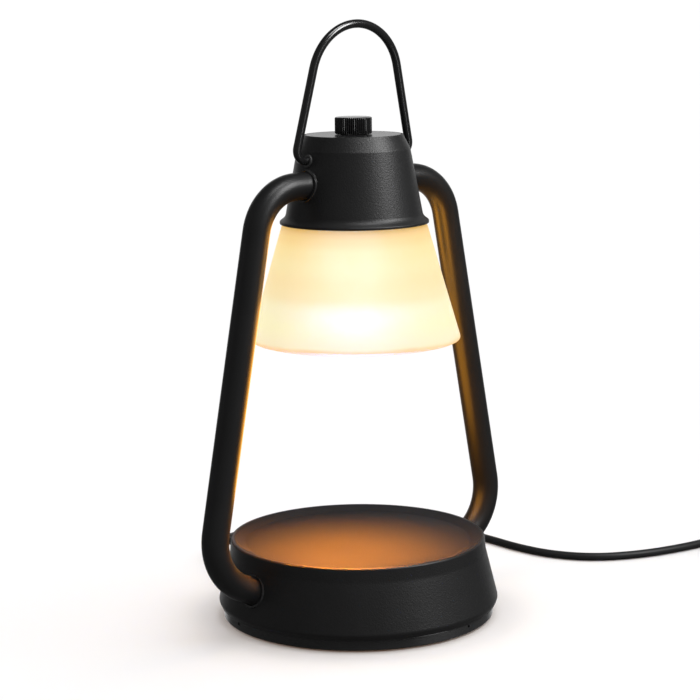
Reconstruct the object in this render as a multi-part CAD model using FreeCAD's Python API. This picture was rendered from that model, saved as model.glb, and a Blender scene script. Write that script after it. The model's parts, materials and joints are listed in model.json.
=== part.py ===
import FreeCAD, Part
import math
import os

# Candle warmer lamp with a dimmer and a carrying bail, in millimetres, +Z up.
# The origin is under the middle of the base. The arms stand in the XZ plane,
# the bail swings about an axis along X, and the cord leaves towards +Y.

V = FreeCAD.Vector
UP = V(0, 0, 1)

# Clearances
seat_gap = 0.05               # pieces that are pressed or clamped together
running_gap = 0.06            # a shaft or wire that turns in its hole, radial
free_gap = 0.4                # pieces that pass without touching
screw_play = 0.25             # a screw in its clearance hole, radial
screw_radius = 1.5            # the screws of the base
small_screw_radius = 1.25     # the screws of the lamp holder
head_ratio = 1.9              # screw head to shank
head_height_ratio = 1.3       # pan head's height to shank radius
slot_ratio = 0.4              # screwdriver slot to shank radius
end_gap = 1.0                 # blind depth left beyond a screw's end
fine_rounding = 0.3
small_rounding = 0.6

# Base shell: a cone under an upright band, with a shallow dish on top
base_radius = 72.5            # widest ring, just above the bottom edge
base_widest_height = 9.0
base_edge_tuck = 1.3          # the bottom edge draws in under the widest ring
band_inset = 6.2              # the band stands this far inside the widest ring
band_bottom = 34.0
band_taper = 0.6
rim_height = 41.2
rim_width = 2.4
rim_rounding = 1.2
dish_slope_width = 5.0
dish_depth = 2.6
shell_wall = 1.6
edge_rounding = 2.5
crease_rounding = 8.0

# Bottom cover, feet and what it carries
foot_height = 0.8             # how far the feet stand out of the cover
foot_radius = 6.5
foot_thickness = 2.0
foot_inset = 13.0             # from the cover's edge to a foot's middle
cover_inset = 2.5             # the cover stands this far inside the widest ring
cover_top = 6.0
cover_plate = 2.2
cover_wall = 2.6
cover_spigot = 3.0            # height of the ring that centres the shell
cover_seam = 0.25             # visible joint between cover and shell
side_hole_radius = 0.9
side_hole_angles = (50.0, 170.0, 282.0)
set_screw_recess = 0.5        # how far the grub screws lie behind the wall's face
foot_angles = (0.0, 90.0, 180.0, 270.0)
ballast_thickness = 5.0
boss_inset = 15.0             # from the cover's edge to a boss's middle
boss_radius = 4.5
boss_angles = (45.0, 135.0, 225.0, 315.0)
cover_screw_length = 16.0

# Arms: bent steel tube with a threaded nipple in each end
tube_radius = 6.85
tube_wall = 1.0
cap_joint_rise = 20.8         # from the cap's lip to where the arm's axis meets its wall
arm_top_slope = 1.5           # degrees, falling outwards from the cap
shoulder_reach = 58.5
shoulder_bend = 25.0
base_joint_height = 24.0      # where the arm's axis meets the base's wall
arm_foot_slope = 25.0         # degrees, falling inwards to the base
elbow_reach = 95.0
elbow_bend = 28.0
arm_inset = 4.4               # how far the tube goes in behind the wall's face
nipple_radius = 4.0
nipple_bore = 2.7
nut_flats = 12.0
nut_thickness = 4.0
nipple_spare = 1.0            # thread that shows behind the nut
nipple_depth = 9.0            # sleeve that goes into the tube's straight end
collar_width = 1.0            # wall of the ring round each arm end
collar_proud = 1.1
collar_shadow = 0.35          # dark gap between the ring and the tube
collar_inside = 0.4
collar_drop = 1.3             # the ring's reach down and up its wall, in its own radii
collar_rise = 1.15

# Brackets that the nipples clamp
bracket_thickness = 1.5
bracket_width = 14.0
bracket_ear = 5.6             # from the nipple's axis to the ear's end
bracket_bend = 2.2
strap_height = 11.0           # underside of the lower strap
strap_screw_reach = 38.0
spacer_radius = 4.0
holder_plate_radius = 21.4
holder_plate_height = 214.5   # underside of the upper bracket; cap, shade and bulb follow it

# Cap: a cone with a bevelled shoulder and a flared lip
cap_lip_play = 1.4            # between the shade's top and the lip, radial
cap_drop = 10.7               # the lip lies this far below the upper bracket
cap_lip_height = 1.2
cap_flare = 2.85              # the lip stands out this far
cap_flare_height = 3.4
cap_taper = 6.3               # the wall draws in by this much up to the bevel
cap_shoulder_rise = 37.2      # from the lip to the bevel
cap_bevel = 3.7               # and by this much over the bevel
cap_height = 44.5
cap_wall = 1.4
cap_flare_rounding = 4.0
plate_inset = 0.7             # from the cap's top edge to the plate
plate_thickness = 1.6
plate_seam = 0.2
plate_ledge = 2.9

# Dimmer and knob
knob_radius = 9.35
knob_rise = 8.9               # above the cap's top
knob_bevel = 0.8
knurl_count = 54
knurl_depth = 0.35
knurl_land = 0.64             # share of the pitch that stands proud
crown_fall = 0.3              # the knob's top is slightly domed
knob_wall = 2.1
knob_roof = 5.4               # solid thickness over the knob's hollow
shaft_radius = 3.0
shaft_flat = 0.9
shaft_cover = 1.8             # knob's thickness over the shaft's end
shaft_seat = 2.0              # the shaft stands this far above the dimmer's floor
bush_radius = 4.5
dimmer_nut_flats = 11.0
dimmer_nut_thickness = 2.0
dimmer_length = 38.0
dimmer_width = 18.0
dimmer_depth = 7.6
dimmer_washer = 1.0
dimmer_shoulder = 3.0         # how far the washer stands out round the bush

# Lamp holder and halogen bulb
holder_radius = 12.5
holder_drop = 2.3             # how far the holder reaches below the bracket
holder_height = 17.3
holder_flange_radius = 21.2
holder_flange = 2.5
holder_screw_angles = (30, 150, 270)
sleeve_radius = 15.4
sleeve_wall = 1.2
sleeve_flange = 1.5
sleeve_drop = 17.0            # how far the sleeve reaches below the bracket
shade_flange_radius = 22.0
bulb_length = 39.5            # from the face to the neck
bulb_radius = 25.0
bulb_rim = 3.5
bulb_wall = 1.2
bulb_lens = 1.6
bulb_lens_recess = 0.4
bulb_neck_radius = 11.2
bulb_belly_radius = 22.8      # half-way up the reflector
bulb_belly_rise = 12.75       # above the rim
bulb_belly_rounding = 30.0
bulb_throat_radius = 14.8
bulb_throat_drop = 7.0        # the throat lies this far below the neck
bulb_throat_rounding = 6.0
bulb_base_width = 16.8
bulb_base_height = 11.8       # ceramic between the neck and the holder
bulb_plug_depth = 4.0         # how far the ceramic goes down into the neck
bulb_plug_rise = 1.0
bulb_pin_radius = 1.6
bulb_pin_head = 2.4
bulb_pin_head_height = 2.2
bulb_pin_spacing = 10.0
bulb_pin_length = 6.5
bulb_pin_root = 3.5           # how far the pins are set into the ceramic
bulb_capsule_radius = 4.5
bulb_capsule_rise = 13.5      # above the bulb's face

# Frosted glass shade
shade_height = 60.2
shade_mouth_radius = 53.8
shade_rise = 0.6              # the shade's top lies this far above the cap's lip
shade_top_radius = 36.35
shade_wall = 2.5
shade_lip = 3.0
shade_hole_radius = 17.0
shade_corner = 4.0
gasket_thickness = 0.8
shade_ring_height = 3.4
ring_notch_depth = 2.0
ring_notch_width = 2.4
ring_notches = 8

# Carrying bail
bail_wire = 2.15
bail_pivot_rise = 32.9        # from the cap's lip
bail_half_width = 37.9
bail_height = 66.6            # pivot to the top of the arch, at the wire's middle
bail_arch = 27.9
bail_bend = 5.5
bail_lean = 3.0               # degrees off upright, towards -Y
bail_head = 0.7               # upset head inside the cap, beyond the wire's radius
bail_head_length = 0.9
bail_inside = 1.6             # wire between the wall's inner face and its head
bush_wall = 0.85
bush_proud = 0.9
bush_inside = 0.4

# Mains cord, coil and plug
cord_radius = 2.2
cord_exit_height = 16.0
relief_length = 28.0
relief_root = 5.2
relief_tip = 3.6
relief_flange = 1.8
relief_flange_radius = 6.4
relief_straight = 3.0         # parallel length before the boot tapers
terminal_length = 18.0
terminal_height = 11.0
terminal_screw_radius = 1.7
terminal_screw_depth = 4.0
terminal_slot = 0.6
wire_radius = 0.85
wire_spacing = 2.2
wire_bend = 3.4
wire_height = 17.5
clamp_reach = 40.0
clamp_wall = 2.0
clamp_width = 9.0
clamp_foot = 6.0              # height of the clamp's screw ear
coil_middle = 26.1            # radius at the middle of the coil's turns
coil_columns = 4
coil_rows = 2
coil_rounding = 2.0
coil_centre = (250.0, -69.5)

# The cord's route, from the tip of its strain relief to the coil
cord_route = (
    (0.0, 114.5, 16.0),
    (4.5, 131.0, 10.5),
    (18.0, 147.5, 4.6),
    (39.0, 159.5, 2.4),
    (66.0, 163.5, 2.2),
    (94.0, 155.5, 2.2),
    (118.0, 137.0, 2.2),
    (135.0, 111.0, 2.2),
    (143.0, 82.0, 2.2),
    (144.5, 54.0, 2.2),
    (143.5, 29.0, 2.2),
    (147.0, 5.0, 2.2),
    (160.0, -16.0, 2.2),
    (183.0, -28.5, 2.2),
    (210.0, -35.0, 2.2),
    (237.0, -36.9, 2.2),
)
tail_route = (
    (253.4, -103.9, 6.3),
    (245.6, -107.2, 6.4),
    (237.3, -109.1, 6.1),
    (228.5, -110.0, 6.0),
)
plug_length = 27.0
plug_width = 25.0
plug_height = 12.0
plug_relief = 20.0
plug_relief_wall = 1.0
plug_relief_flare = 1.4
plug_rounding = 3.4
blade_length = 16.0
blade_width = 6.3
blade_thickness = 1.5
blade_spacing = 12.7
blade_inside = 6.0
blade_hole_radius = 1.6
blade_hole_inset = 5.0        # from the blade's tip


# ---------------------------------------------------------------- helpers

def unit(degrees):
    # Unit vector in the XZ plane, measured up from +X.
    angle = math.radians(degrees)
    return V(math.cos(angle), 0, math.sin(angle))


def ring_point(radius, degrees, height):
    angle = math.radians(degrees)
    return V(radius * math.cos(angle), radius * math.sin(angle), height)


def in_plane(points):
    # (r, z) pairs as points of the XZ plane.
    return [V(r, 0, z) for r, z in points]


def rounded_edges(points, radii, closed=False):
    # Straight runs joined by tangent arcs; radii maps a corner's number to its radius.
    count = len(points)
    entries = list(points)
    exits = list(points)
    middles = {}
    for i, radius in radii.items():
        back = (points[i - 1] - points[i]).normalize()
        ahead = (points[(i + 1) % count] - points[i]).normalize()
        half = back.getAngle(ahead) / 2
        entries[i] = points[i] + back * (radius / math.tan(half))
        exits[i] = points[i] + ahead * (radius / math.tan(half))
        towards_centre = (back + ahead).normalize()
        middles[i] = points[i] + towards_centre * (radius / math.sin(half) - radius)
    edges = []
    for i in range(count):
        if i in middles:
            edges.append(Part.Arc(entries[i], middles[i], exits[i]).toShape())
        following = (i + 1) % count
        if closed or i < count - 1:
            edges.append(Part.LineSegment(exits[i], entries[following]).toShape())
    return edges


def turned(outline, radii=None):
    # A solid turned about Z from a closed outline of (r, z) pairs.
    edges = rounded_edges(in_plane(outline), radii or {}, closed=True)
    return Part.Face(Part.Wire(edges)).revolve(V(0, 0, 0), UP, 360)


def offset_outline(points, distance):
    # A polyline moved to the left of its direction, with mitred corners.
    normals = []
    for (r0, z0), (r1, z1) in zip(points, points[1:]):
        length = math.hypot(r1 - r0, z1 - z0)
        normals.append(((z0 - z1) / length, (r1 - r0) / length))
    before = [normals[0]] + normals
    after = normals + [normals[-1]]
    moved = []
    for (r, z), (a, b), (c, d) in zip(points, before, after):
        scale = distance / (1 + a * c + b * d)
        moved.append((r + (a + c) * scale, z + (b + d) * scale))
    return moved


def radius_at(outline, height):
    # Radius of a wall outline at a height, between its points.
    for (r0, z0), (r1, z1) in zip(outline, outline[1:]):
        if min(z0, z1) <= height <= max(z0, z1):
            return r0 + (r1 - r0) * (height - z0) / (z1 - z0)
    raise ValueError("the outline does not reach height %.2f" % height)


def aimed(shape, point, direction):
    # A shape built along +Z from the origin, moved to point and turned along direction.
    shape.Placement = FreeCAD.Placement(point, FreeCAD.Rotation(UP, direction))
    return shape


def rod(radius, length, point, direction):
    return Part.makeCylinder(radius, length, point, direction)


def swept(edges, radius):
    # A round section along a path of lines and arcs.
    path = Part.Wire(edges)
    start = edges[0].valueAt(edges[0].FirstParameter)
    tangent = edges[0].tangentAt(edges[0].FirstParameter)
    section = Part.Wire(Part.makeCircle(radius, start, tangent))
    return path.makePipeShell([section], True, False)


def both_sides(shape):
    # The +X piece and its twin, half a turn away.
    twin = shape.copy()
    twin.rotate(V(0, 0, 0), UP, 180)
    return [shape, twin]


def around(shape, angles):
    # Copies of a shape, turned about Z.
    copies = []
    for angle in angles:
        turned_copy = shape.copy()
        turned_copy.rotate(V(0, 0, 0), UP, angle)
        copies.append(turned_copy)
    return copies


def hex_nut(flats, thickness, bore):
    corner = flats / 2 / math.cos(math.radians(30))
    points = [ring_point(corner, 30 + 60 * i, 0) for i in range(7)]
    body = Part.Face(Part.makePolygon(points)).extrude(V(0, 0, thickness))
    return body.cut(Part.makeCylinder(bore, thickness))


def driver_slot(radius, bottom, top):
    # The cutter for a screwdriver slot across a screw.
    width = radius * slot_ratio
    length = 2 * radius * head_ratio
    return Part.makeBox(length, width, top - bottom, V(-length / 2, -width / 2, bottom))


def pan_screw(radius, length):
    # Slotted head above z = 0, shank below.
    head_radius = radius * head_ratio
    head_height = radius * head_height_ratio
    outline = ((0, head_height), (radius, head_height), (head_radius, 0), (radius, 0),
               (radius, -length), (0, -length))
    return turned(outline).cut(driver_slot(radius, head_height / 2, head_height))


def countersunk(radius, length):
    # A countersunk screw's body, or its hole, with the head face at z = 0 and the shank along +Z.
    head_radius = radius * head_ratio
    outline = ((0, 0), (head_radius, 0), (radius, head_radius - radius), (radius, length), (0, length))
    return turned(outline)


def flat_screw(radius, length):
    return countersunk(radius, length).cut(driver_slot(radius, 0, radius / 2))


def flat_strip(outer_line):
    # Bent strip: its outer face follows a polyline in the XZ plane, its width is centred on y = 0.
    inner_line = offset_outline(outer_line, bracket_thickness)
    outline = in_plane(outer_line + inner_line[::-1])
    last = len(outer_line)
    outer_bend = bracket_bend + bracket_thickness
    radii = {1: outer_bend, last - 2: outer_bend, last + 1: bracket_bend, 2 * last - 2: bracket_bend}
    face = Part.Face(Part.Wire(rounded_edges(outline, radii, closed=True)))
    face.translate(V(0, -bracket_width / 2, 0))
    return face.extrude(V(0, bracket_width, 0))


# ---------------------------------------------------------------- wall outlines and derived places

band_radius = base_radius - band_inset
cover_radius = base_radius - cover_inset
foot_circle = cover_radius - foot_inset
boss_circle = cover_radius - boss_inset
cover_bottom = foot_height
cover_floor = cover_bottom + cover_plate
shell_bottom = cover_top + cover_seam
band_top_radius = band_radius - band_taper
dish_floor = rim_height - dish_depth
dish_radius = band_top_radius - rim_width - dish_slope_width
base_wall = [
    (base_radius - base_edge_tuck, shell_bottom),
    (base_radius, base_widest_height),
    (band_radius, band_bottom),
    (band_top_radius, rim_height),
]
cap_lip_radius = shade_top_radius + cap_lip_play
cap_flare_radius = cap_lip_radius - cap_flare
cap_shoulder_radius = cap_flare_radius - cap_taper
cap_top_radius = cap_shoulder_radius - cap_bevel
plate_radius = cap_top_radius - plate_inset
cap_bottom = holder_plate_height - cap_drop
cap_joint_height = cap_bottom + cap_joint_rise
cap_top = cap_bottom + cap_height
cap_wall_line = [
    (cap_lip_radius, cap_bottom),
    (cap_lip_radius, cap_bottom + cap_lip_height),
    (cap_flare_radius, cap_bottom + cap_flare_height),
    (cap_shoulder_radius, cap_bottom + cap_shoulder_rise),
    (cap_top_radius, cap_top),
]

side_hole_height = (cover_floor + cover_top) / 2
ballast_radius = cover_radius - cover_wall - free_gap
ballast_bottom = cover_floor + seat_gap
ballast_top = ballast_bottom + ballast_thickness
boss_bottom = ballast_top + free_gap
strap_top = strap_height + bracket_thickness
terminal_bottom = strap_top + seat_gap
terminal_top = terminal_bottom + terminal_height
clamp_side = cord_radius + clamp_wall
clamp_screw_side = clamp_side + screw_radius * head_ratio + free_gap
collar_radius = tube_radius + collar_shadow + collar_width

plate_bottom = cap_top - plate_thickness
plate_opening = plate_radius + plate_seam
dimmer_top = plate_bottom - seat_gap - dimmer_washer
dimmer_bottom = dimmer_top - dimmer_depth
knob_top = cap_top + knob_rise
knob_bottom = cap_top + free_gap
knob_ceiling = knob_top - knob_roof
bush_top = knob_ceiling - free_gap
shaft_bottom = dimmer_bottom + shaft_seat
shaft_top = knob_top - shaft_cover

bracket_top = holder_plate_height + bracket_thickness
holder_flange_bottom = bracket_top + seat_gap
holder_screw_circle = sleeve_radius + small_screw_radius * head_ratio + free_gap
holder_bottom = holder_plate_height - holder_drop
holder_top = holder_bottom + holder_height
bulb_base_top = holder_bottom - free_gap
bulb_neck_height = bulb_base_top - bulb_base_height
bulb_face = bulb_neck_height - bulb_length
bulb_rim_top = bulb_face + bulb_rim
shade_top = cap_bottom + shade_rise
shade_bottom = shade_top - shade_height

bail_pivot_height = cap_bottom + bail_pivot_rise
bail_bush_radius = bail_wire + running_gap + bush_wall
bail_inner_reach = radius_at(cap_wall_line, bail_pivot_height) - cap_wall - bail_inside
relief_face = radius_at(base_wall, cord_exit_height)
relief_end = relief_face + relief_length


class ArmEnd:
    # One end of the +X arm: where its axis meets a wall, and which way it goes in.
    def __init__(self, wall, height, inward):
        self.inward = inward
        self.ear_up = V(inward.z, 0, -inward.x)
        self.face = V(radius_at(wall, height), 0, height)
        self.tube_end = self.face + inward * arm_inset
        self.ear = self.tube_end + inward * seat_gap
        self.nut = self.ear + inward * (bracket_thickness + seat_gap)
        self.nipple_end = self.nut + inward * (nut_thickness + nipple_spare)


top_end = ArmEnd(cap_wall_line, cap_joint_height, unit(180 - arm_top_slope))
foot_end = ArmEnd(base_wall, base_joint_height, unit(180 + arm_foot_slope))


def on_axis(end, reach):
    # The point of an arm end's axis at a distance from the lamp's axis.
    return end.face + end.inward * ((reach - end.face.x) / end.inward.x)


def bend_beside(end, corner, next_corner, radius):
    # A bend's radius, kept small enough to leave the nipple its straight end.
    room = (corner - end.tube_end).Length - nipple_depth - 2 * free_gap
    half_turn = (math.pi - (end.tube_end - corner).getAngle(next_corner - corner)) / 2
    return min(radius, room / math.tan(half_turn))


shoulder = on_axis(top_end, shoulder_reach)
elbow = on_axis(foot_end, elbow_reach)
arm_bends = {
    1: bend_beside(top_end, shoulder, elbow, shoulder_bend),
    2: bend_beside(foot_end, elbow, shoulder, elbow_bend),
}
arm_path = rounded_edges([top_end.tube_end, shoulder, elbow, foot_end.tube_end], arm_bends)


# ---------------------------------------------------------------- base

def base_shell():
    inner_wall = offset_outline(base_wall, shell_wall)
    underside = dish_floor - shell_wall
    dish_edge = band_top_radius - rim_width
    outline = base_wall + [
        (dish_edge, rim_height),
        (dish_radius, dish_floor),
        (0, dish_floor),
        (0, underside),
        (inner_wall[3][0], underside),
        inner_wall[2],
        inner_wall[1],
        inner_wall[0],
    ]
    radii = {1: edge_rounding, 2: crease_rounding, 3: rim_rounding, 4: rim_rounding / 2, 5: dish_depth}
    shell = turned(outline, radii)
    boss = rod(boss_radius, underside - boss_bottom, V(boss_circle, 0, boss_bottom), UP)
    bore = rod(screw_radius + seat_gap, cover_screw_length, V(boss_circle, 0, boss_bottom), UP)
    for copy in around(boss, boss_angles):
        shell = shell.fuse(copy)
    for copy in around(bore, boss_angles):
        shell = shell.cut(copy)
    for opening in both_sides(collar_blank(foot_end, collar_radius + seat_gap)):
        shell = shell.cut(opening)
    relief_start = V(0, inner_wall[3][0], cord_exit_height)
    return shell.cut(rod(relief_root + seat_gap, relief_length, relief_start, V(0, 1, 0)))


def bottom_cover():
    inner_radius = cover_radius - cover_wall
    spigot_radius = base_radius - base_edge_tuck - shell_wall - 2 * free_gap
    outline = (
        (0, cover_bottom), (cover_radius, cover_bottom), (cover_radius, cover_top),
        (spigot_radius, cover_top), (spigot_radius, cover_top + cover_spigot),
        (inner_radius, cover_top + cover_spigot), (inner_radius, cover_floor), (0, cover_floor),
    )
    cover = turned(outline, {1: small_rounding, 2: fine_rounding})
    recess_depth = foot_thickness - foot_height
    recess = rod(foot_radius + seat_gap, recess_depth, V(foot_circle, 0, cover_bottom), UP)
    for copy in around(recess, foot_angles):
        cover = cover.cut(copy)
    for screw in cover_screw_cutters():
        cover = cover.cut(screw)
    hole = rod(side_hole_radius, 2 * cover_wall, V(ballast_radius, 0, side_hole_height), V(1, 0, 0))
    for copy in around(hole, side_hole_angles):
        cover = cover.cut(copy)
    return cover


def cover_screw_cutters():
    sink = countersunk(screw_radius + screw_play, cover_screw_length)
    sink.translate(V(boss_circle, 0, cover_bottom))
    return around(sink, boss_angles)


def cover_screws():
    screw = flat_screw(screw_radius, cover_screw_length)
    screw.translate(V(boss_circle, 0, cover_bottom + seat_gap))
    return Part.makeCompound(around(screw, boss_angles))


def foot_pads():
    pad = rod(foot_radius, foot_thickness - seat_gap, V(foot_circle, 0, 0), UP)
    return Part.makeCompound(around(pad, foot_angles))


def set_screws():
    # Grub screws in the cover's wall, against the ballast's edge.
    inner_radius = ballast_radius + seat_gap
    length = cover_radius - set_screw_recess - inner_radius
    screw = rod(side_hole_radius - seat_gap, length, V(inner_radius, 0, side_hole_height), V(1, 0, 0))
    return Part.makeCompound(around(screw, side_hole_angles))


def ballast_disc():
    disc = rod(ballast_radius, ballast_thickness, V(0, 0, ballast_bottom), UP)
    hole = rod(boss_radius + free_gap, ballast_thickness, V(boss_circle, 0, ballast_bottom), UP)
    for copy in around(hole, boss_angles):
        disc = disc.cut(copy)
    thread = rod(screw_radius + seat_gap, ballast_thickness, V(0, 0, ballast_bottom), UP)
    for x, y in ((strap_screw_reach, 0), (-strap_screw_reach, 0), (clamp_screw_side, clamp_reach)):
        disc = disc.cut(thread.translated(V(x, y, 0)))
    return disc


def bracket_line(end, height):
    # Outer face of a bracket from ear to ear: its web lies at a height, its ears stand square to the arms.
    ear_top = end.ear + end.ear_up * bracket_ear
    corner = ear_top - end.ear_up * ((ear_top.z - height) / end.ear_up.z)
    right = [(corner.x, height), (ear_top.x, ear_top.z)]
    return [(-r, z) for r, z in right[::-1]] + right


def bored_for_nipples(strip, end):
    start = end.ear - end.inward * bracket_thickness
    hole = rod(nipple_radius + seat_gap, 3 * bracket_thickness, start, end.inward)
    for copy in both_sides(hole):
        strip = strip.cut(copy)
    return strip


def base_strap():
    strap = bored_for_nipples(flat_strip(bracket_line(foot_end, strap_height)), foot_end)
    hole = rod(screw_radius + screw_play, bracket_thickness, V(strap_screw_reach, 0, strap_height), UP)
    for copy in both_sides(hole):
        strap = strap.cut(copy)
    return strap


def strap_spacers():
    height = strap_height - ballast_top - 2 * seat_gap
    base = V(strap_screw_reach, 0, ballast_top + seat_gap)
    spacer = rod(spacer_radius, height, base, UP).cut(rod(screw_radius + screw_play, height, base, UP))
    return Part.makeCompound(both_sides(spacer))


def base_screws():
    # The strap's two screws and the cord clamp's one, all into the ballast.
    strap_screw = pan_screw(screw_radius, strap_top - ballast_bottom - end_gap)
    strap_screw.translate(V(strap_screw_reach, 0, strap_top + seat_gap))
    clamp_screw = pan_screw(screw_radius, clamp_foot + ballast_thickness - end_gap)
    clamp_screw.translate(V(clamp_screw_side, clamp_reach, ballast_top + clamp_foot + seat_gap))
    return Part.makeCompound(both_sides(strap_screw) + [clamp_screw])


def cord_clamp():
    # A plastic saddle on the ballast, with an ear for its screw.
    bottom = ballast_top + seat_gap
    front = clamp_reach - clamp_width / 2
    height = cord_exit_height + clamp_side - bottom
    block = Part.makeBox(2 * clamp_side, clamp_width, height, V(-clamp_side, front, bottom))
    ear_length = 2 * (clamp_screw_side - clamp_side)
    ear = Part.makeBox(ear_length, clamp_width, clamp_foot - seat_gap, V(clamp_side, front, bottom))
    bore = rod(cord_radius + seat_gap, clamp_width, V(0, front, cord_exit_height), V(0, 1, 0))
    hole = rod(screw_radius + screw_play, clamp_foot, V(clamp_screw_side, clamp_reach, bottom), UP)
    return block.fuse(ear).cut(bore).cut(hole)


def at_terminals(shape):
    # Copies of a shape over the block's four screws, from its place at the top of the Z axis.
    copies = []
    for x in (-terminal_length / 4, terminal_length / 4):
        for y in (-bracket_width / 4, bracket_width / 4):
            copies.append(shape.translated(V(x, y, terminal_top)))
    return copies


def terminal_block():
    corner = V(-terminal_length / 2, -bracket_width / 2, terminal_bottom)
    block = Part.makeBox(terminal_length, bracket_width, terminal_height, corner)
    depth = terminal_screw_depth + seat_gap
    for hole in at_terminals(rod(terminal_screw_radius + seat_gap, depth, V(0, 0, -depth), UP)):
        block = block.cut(hole)
    return block


def terminal_screws():
    screw = rod(terminal_screw_radius, terminal_screw_depth, V(0, 0, -terminal_screw_depth), UP)
    slotted = screw.cut(driver_slot(terminal_screw_radius, -terminal_slot, 0))
    return Part.makeCompound(at_terminals(slotted))


# ---------------------------------------------------------------- arms

def arm():
    return swept(arm_path, tube_radius).cut(swept(arm_path, tube_radius - tube_wall))


def nipple(end):
    # A sleeve pressed into the tube's straight end, with a threaded, bored stub that goes through the ear.
    sleeve = tube_radius - tube_wall - seat_gap
    stub = (end.nipple_end - end.tube_end).Length
    outline = (
        (nipple_bore, -nipple_depth), (sleeve, -nipple_depth), (sleeve, 0),
        (nipple_radius, 0), (nipple_radius, stub), (nipple_bore, stub),
    )
    return aimed(turned(outline), end.tube_end, end.inward)


def nipple_nut(end):
    nut = hex_nut(nut_flats, nut_thickness, nipple_radius + seat_gap)
    return aimed(nut, end.nut, end.inward)


def collar_blank(end, radius):
    # A rod along an arm end's axis, long enough to pass through the wall there.
    reach = collar_radius * 2
    return rod(radius, 2 * reach, end.face - end.inward * reach, end.inward)


def wall_layer(wall, low, high, proud, inside):
    # The space round a wall, from a little outside it to a little behind it, over a height range.
    outer = [(radius_at(wall, low) + proud, low), (radius_at(wall, high) + proud, high)]
    inner = [(r - proud - inside, z) for r, z in outer]
    return turned(outer + inner[::-1])


def arm_collar(end, wall, wall_thickness):
    # The thin ring round the tube where it enters a wall, following the wall's slope.
    blank = collar_blank(end, collar_radius).cut(collar_blank(end, tube_radius + collar_shadow))
    low = end.face.z - collar_radius * collar_drop
    high = end.face.z + collar_radius * collar_rise
    layer = wall_layer(wall, low, high, collar_proud, wall_thickness + collar_inside)
    ring = blank.common(layer)
    nearest = [solid for solid in ring.Solids if solid.CenterOfMass.x > 0]
    return nearest[0]


def lead_wires():
    # The pair of wires through the +X arm, from the terminal block up to the dimmer.
    bend_low = foot_end.face + foot_end.inward * ((wire_height - foot_end.face.z) / foot_end.inward.z)
    turn_reach = top_end.nipple_end.x - wire_bend - free_gap
    turn = on_axis(top_end, turn_reach)
    points = [
        V(terminal_length / 2, 0, wire_height),
        bend_low,
        elbow,
        shoulder,
        turn,
        V(turn_reach, 0, dimmer_bottom),
    ]
    radii = {1: wire_bend * 2, 2: arm_bends[2], 3: arm_bends[1], 4: wire_bend}
    wires = []
    for side in (-1, 1):
        wire = swept(rounded_edges(points, radii), wire_radius)
        wire.translate(V(0, side * wire_spacing / 2, 0))
        wires.append(wire)
    return Part.makeCompound(wires)


# ---------------------------------------------------------------- cap, dimmer and knob

def cap_shell():
    inner = offset_outline(cap_wall_line, cap_wall)
    ledge_bottom = plate_bottom - cap_wall
    outline = cap_wall_line + [
        (plate_opening, cap_top),
        (plate_opening, plate_bottom),
        (plate_opening - plate_ledge, plate_bottom),
        (plate_opening - plate_ledge, ledge_bottom),
        (radius_at(inner, ledge_bottom), ledge_bottom),
        inner[3], inner[2], inner[1], inner[0],
    ]
    shell = turned(outline, {1: small_rounding, 2: cap_flare_rounding, 3: small_rounding})
    for opening in both_sides(collar_blank(top_end, collar_radius + seat_gap)):
        shell = shell.cut(opening)
    for pivot_hole in both_sides(pivot_rod(bail_bush_radius + seat_gap)):
        shell = shell.cut(pivot_hole)
    return shell


def pivot_rod(radius):
    return rod(radius, cap_lip_radius, V(0, 0, bail_pivot_height), V(1, 0, 0))


def cap_top_plate():
    outline = ((bush_radius + seat_gap, plate_bottom), (plate_radius, plate_bottom), (plate_radius, cap_top),
               (bush_radius + seat_gap, cap_top))
    return turned(outline, {2: fine_rounding})


def cap_bracket():
    # Ears for the arms, and a round plate in the middle that carries the lamp holder.
    strip = flat_strip(bracket_line(top_end, holder_plate_height))
    plate = rod(holder_plate_radius, bracket_thickness, V(0, 0, holder_plate_height), UP)
    strip = bored_for_nipples(strip.fuse(plate), top_end)
    strip = strip.cut(rod(holder_radius + free_gap, bracket_thickness, V(0, 0, holder_plate_height), UP))
    for hole in holder_screw_rods(small_screw_radius + screw_play, holder_plate_height, bracket_thickness):
        strip = strip.cut(hole)
    return strip


def holder_screw_rods(radius, bottom, length):
    return around(rod(radius, length, V(holder_screw_circle, 0, bottom), UP), holder_screw_angles)


def dimmer_body():
    corner = V(-dimmer_length / 2, -dimmer_width / 2, dimmer_bottom)
    body = Part.makeBox(dimmer_length, dimmer_width, dimmer_depth, corner)
    bush = rod(bush_radius, bush_top - dimmer_top, V(0, 0, dimmer_top), UP)
    washer = rod(bush_radius + dimmer_shoulder, dimmer_washer, V(0, 0, dimmer_top), UP)
    bore_bottom = shaft_bottom - seat_gap
    bore = rod(shaft_radius + running_gap, bush_top - bore_bottom, V(0, 0, bore_bottom), UP)
    return body.fuse(bush).fuse(washer).cut(bore)


def shaft_profile(radius, flat, bottom, top):
    shaft = rod(radius, top - bottom, V(0, 0, bottom), UP)
    flat_bottom = bush_top + free_gap
    cutter = Part.makeBox(2 * radius, 2 * radius, top - flat_bottom, V(radius - flat, -radius, flat_bottom))
    return shaft.cut(cutter)


def dimmer_shaft():
    return shaft_profile(shaft_radius, shaft_flat, shaft_bottom, shaft_top)


def dimmer_nut():
    nut = hex_nut(dimmer_nut_flats, dimmer_nut_thickness, bush_radius + seat_gap)
    nut.translate(V(0, 0, cap_top + seat_gap))
    return nut


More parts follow.
